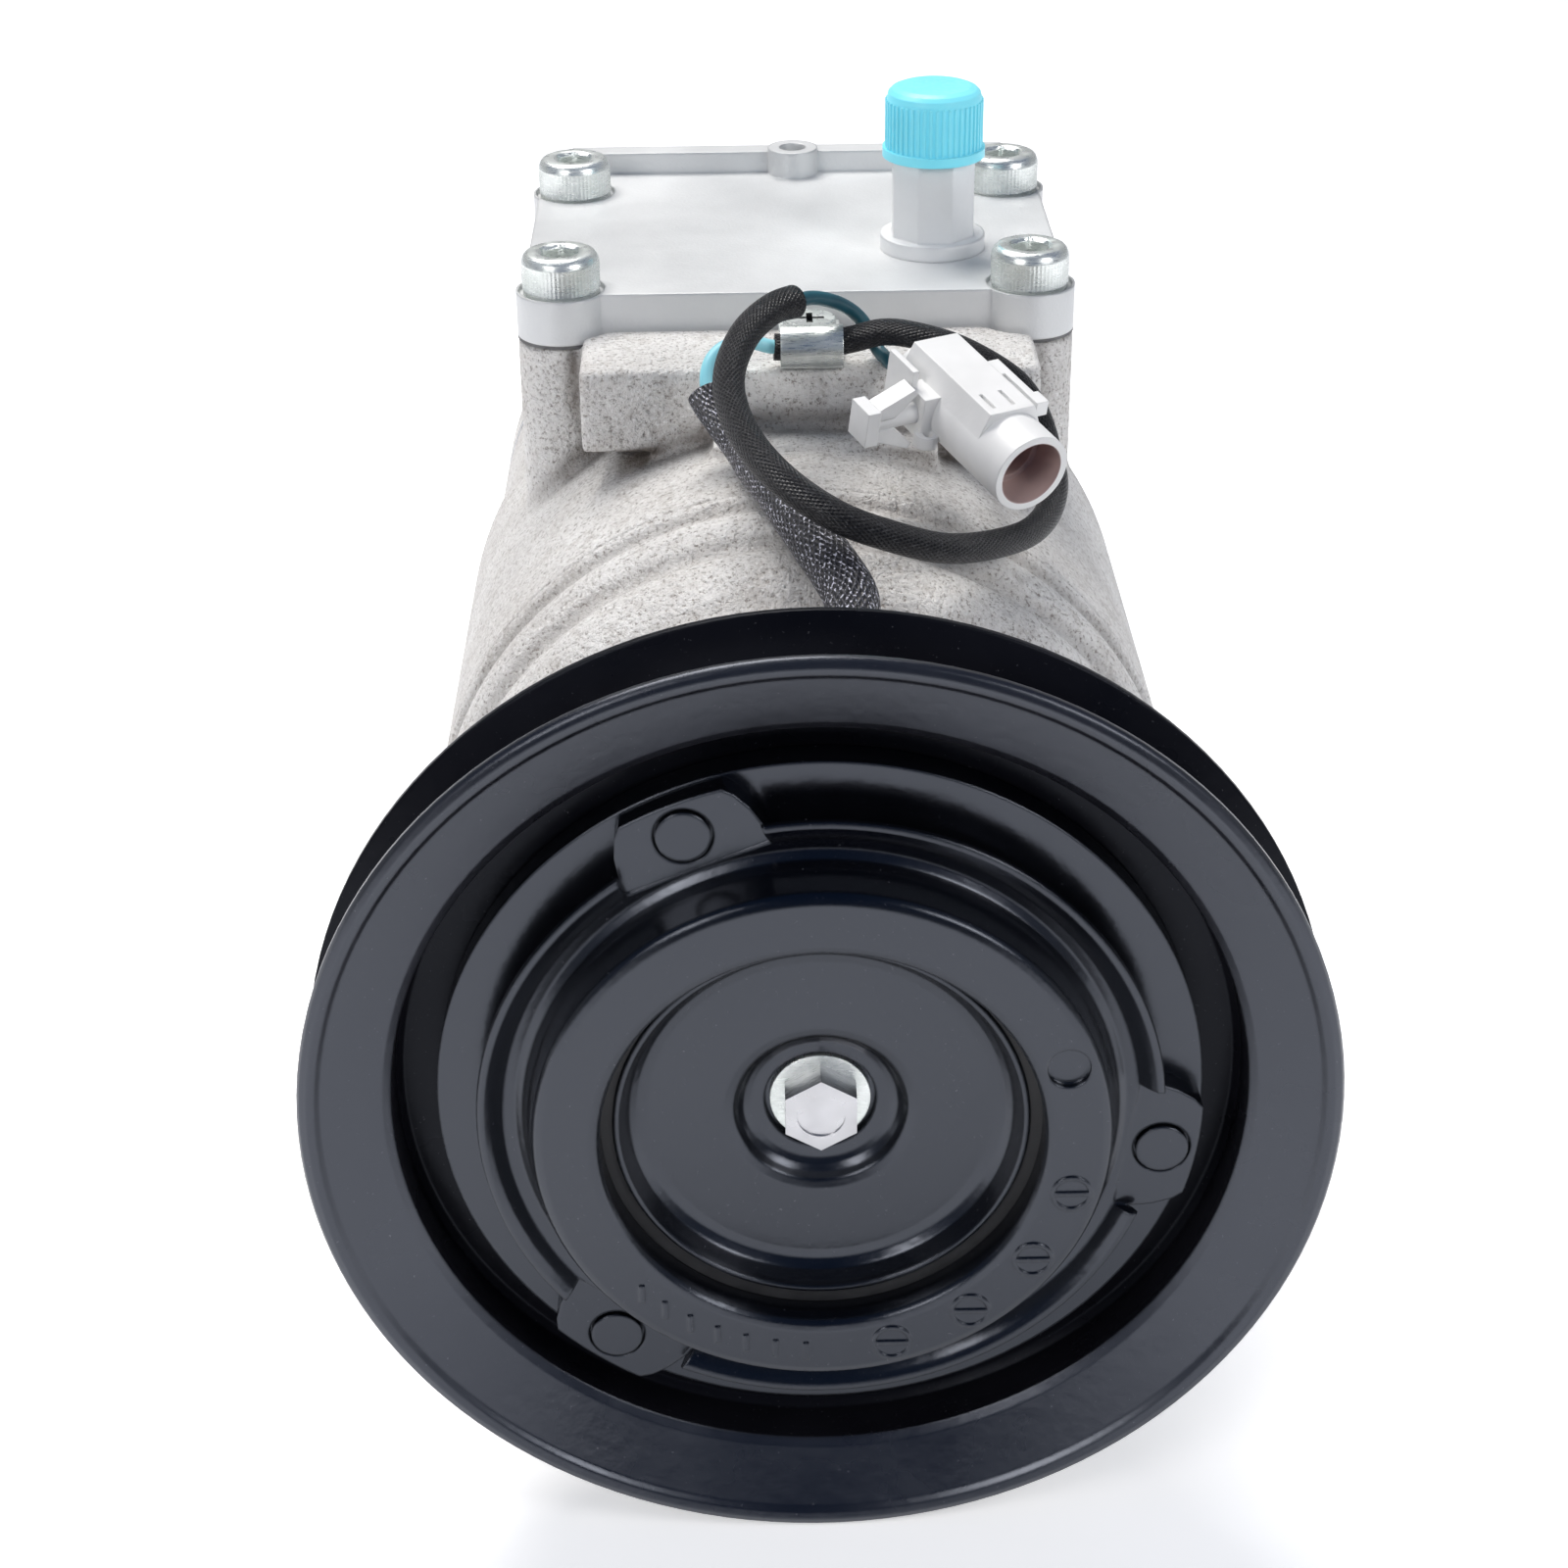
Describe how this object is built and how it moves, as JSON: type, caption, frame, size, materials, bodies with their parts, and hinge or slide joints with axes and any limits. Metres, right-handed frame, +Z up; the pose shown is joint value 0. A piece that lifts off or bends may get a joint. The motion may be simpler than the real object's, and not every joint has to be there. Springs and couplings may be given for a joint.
{
  "type": "automotive air conditioning compressor",
  "caption": "Swash plate refrigerant compressor with belt pulley, electromagnetic clutch, bolted manifold cover, capped port and clutch lead.",
  "frame": {"origin": "on the shaft axis, in the middle plane of the belt groove", "axes": "+Y along the shaft from the pulley towards the rear housing, +Z up towards the manifold cover, +X to the right seen from the pulley"},
  "size_m": [0.145, 0.2393, 0.1777],
  "materials": {
    "cast_aluminium": "sand-cast, matt",
    "machined_aluminium": "smooth die-cast",
    "piston_aluminium": "turned",
    "gasket": "coated sheet",
    "clutch_black": "gloss black enamel",
    "zinc": "zinc plated",
    "rubber": "moulded",
    "winding": "enamelled copper wire",
    "cap_plastic": "moulded, ribbed",
    "connector_plastic": "moulded",
    "woven_sleeve": "woven",
    "wire_insulation": "extruded",
    "steel": "ground"
  },
  "bodies": {
    "housing": {"front_housing": "cast_aluminium", "front_cylinder_block": "cast_aluminium", "rear_cylinder_block": "cast_aluminium", "rear_housing": "cast_aluminium", "block_gasket": "gasket", "front_head_gasket": "gasket", "rear_head_gasket": "gasket", "front_valve_plate": "steel", "rear_valve_plate": "steel", "front_suction_reed": "steel", "rear_suction_reed": "steel", "front_discharge_reed": "steel", "rear_discharge_reed": "steel", "through_bolts": "zinc", "through_bolt_washers": "zinc", "manifold_cover": "machined_aluminium", "manifold_gasket": "gasket", "cover_bolts": "zinc", "suction_port": "machined_aluminium", "shaft_seal": "rubber", "seal_snap_ring": "steel", "needle_bearings": "steel", "thrust_bearings": "steel", "coil_housing": "steel", "coil_winding": "winding", "coil_snap_ring": "steel", "coil_gland": "rubber", "bearing_inner_race": "steel", "bearing_balls": "steel", "nose_snap_ring": "steel", "lead_clip": "zinc", "clip_screw": "zinc", "coil_lead": "woven_sleeve", "wire_lead": "wire_insulation", "loop_lead": "woven_sleeve", "connector": "connector_plastic"},
    "rotor": {"pulley": "clutch_black", "bearing_outer_race": "steel", "bearing_seals": "rubber", "rotor_snap_ring": "steel"},
    "shaft": {"shaft": "steel", "swash_plate": "steel", "hub_inner": "clutch_black", "clutch_washer": "zinc", "clutch_bolt": "zinc", "hub_damper": "rubber"},
    "armature": {"hub_cup": "clutch_black", "armature_plate": "clutch_black", "rivets": "clutch_black"},
    "cap": {"port_cap": "cap_plastic"},
    "piston_1": {"piston_1": "piston_aluminium", "shoes_1": "steel"},
    "piston_2": {"piston_2": "piston_aluminium", "shoes_2": "steel"},
    "piston_3": {"piston_3": "piston_aluminium", "shoes_3": "steel"},
    "piston_4": {"piston_4": "piston_aluminium", "shoes_4": "steel"},
    "piston_5": {"piston_5": "piston_aluminium", "shoes_5": "steel"}
  },
  "joints": [
    {"name": "pulley_spin", "type": "hinge", "parent": "housing", "child": "rotor", "pos_m": [0, 0, 0], "axis": [0, 1, 0], "continuous": true},
    {"name": "shaft_spin", "type": "hinge", "parent": "housing", "child": "shaft", "pos_m": [0, 0, 0], "axis": [0, 1, 0], "continuous": true},
    {"name": "armature_pull", "type": "slide", "parent": "shaft", "child": "armature", "axis": [0, 1, 0], "range_m": [0, 0.00045], "stiffness_N_per_m": 40000, "deforming": ["hub_damper"]},
    {"name": "piston_1_stroke", "type": "slide", "parent": "housing", "child": "piston_1", "axis": [0, 1, 0], "range_m": [0, 0.018]},
    {"name": "piston_2_stroke", "type": "slide", "parent": "housing", "child": "piston_2", "axis": [0, 1, 0], "range_m": [-0.00622, 0.01178]},
    {"name": "piston_3_stroke", "type": "slide", "parent": "housing", "child": "piston_3", "axis": [0, 1, 0], "range_m": [-0.01628, 0.00172]},
    {"name": "piston_4_stroke", "type": "slide", "parent": "housing", "child": "piston_4", "axis": [0, 1, 0], "range_m": [-0.01628, 0.00172]},
    {"name": "piston_5_stroke", "type": "slide", "parent": "housing", "child": "piston_5", "axis": [0, 1, 0], "range_m": [-0.00622, 0.01178]},
    {"name": "cap_lift", "type": "slide", "parent": "housing", "child": "cap", "axis": [0, 0, 1], "range_m": [0, 0.03]}
  ]
}
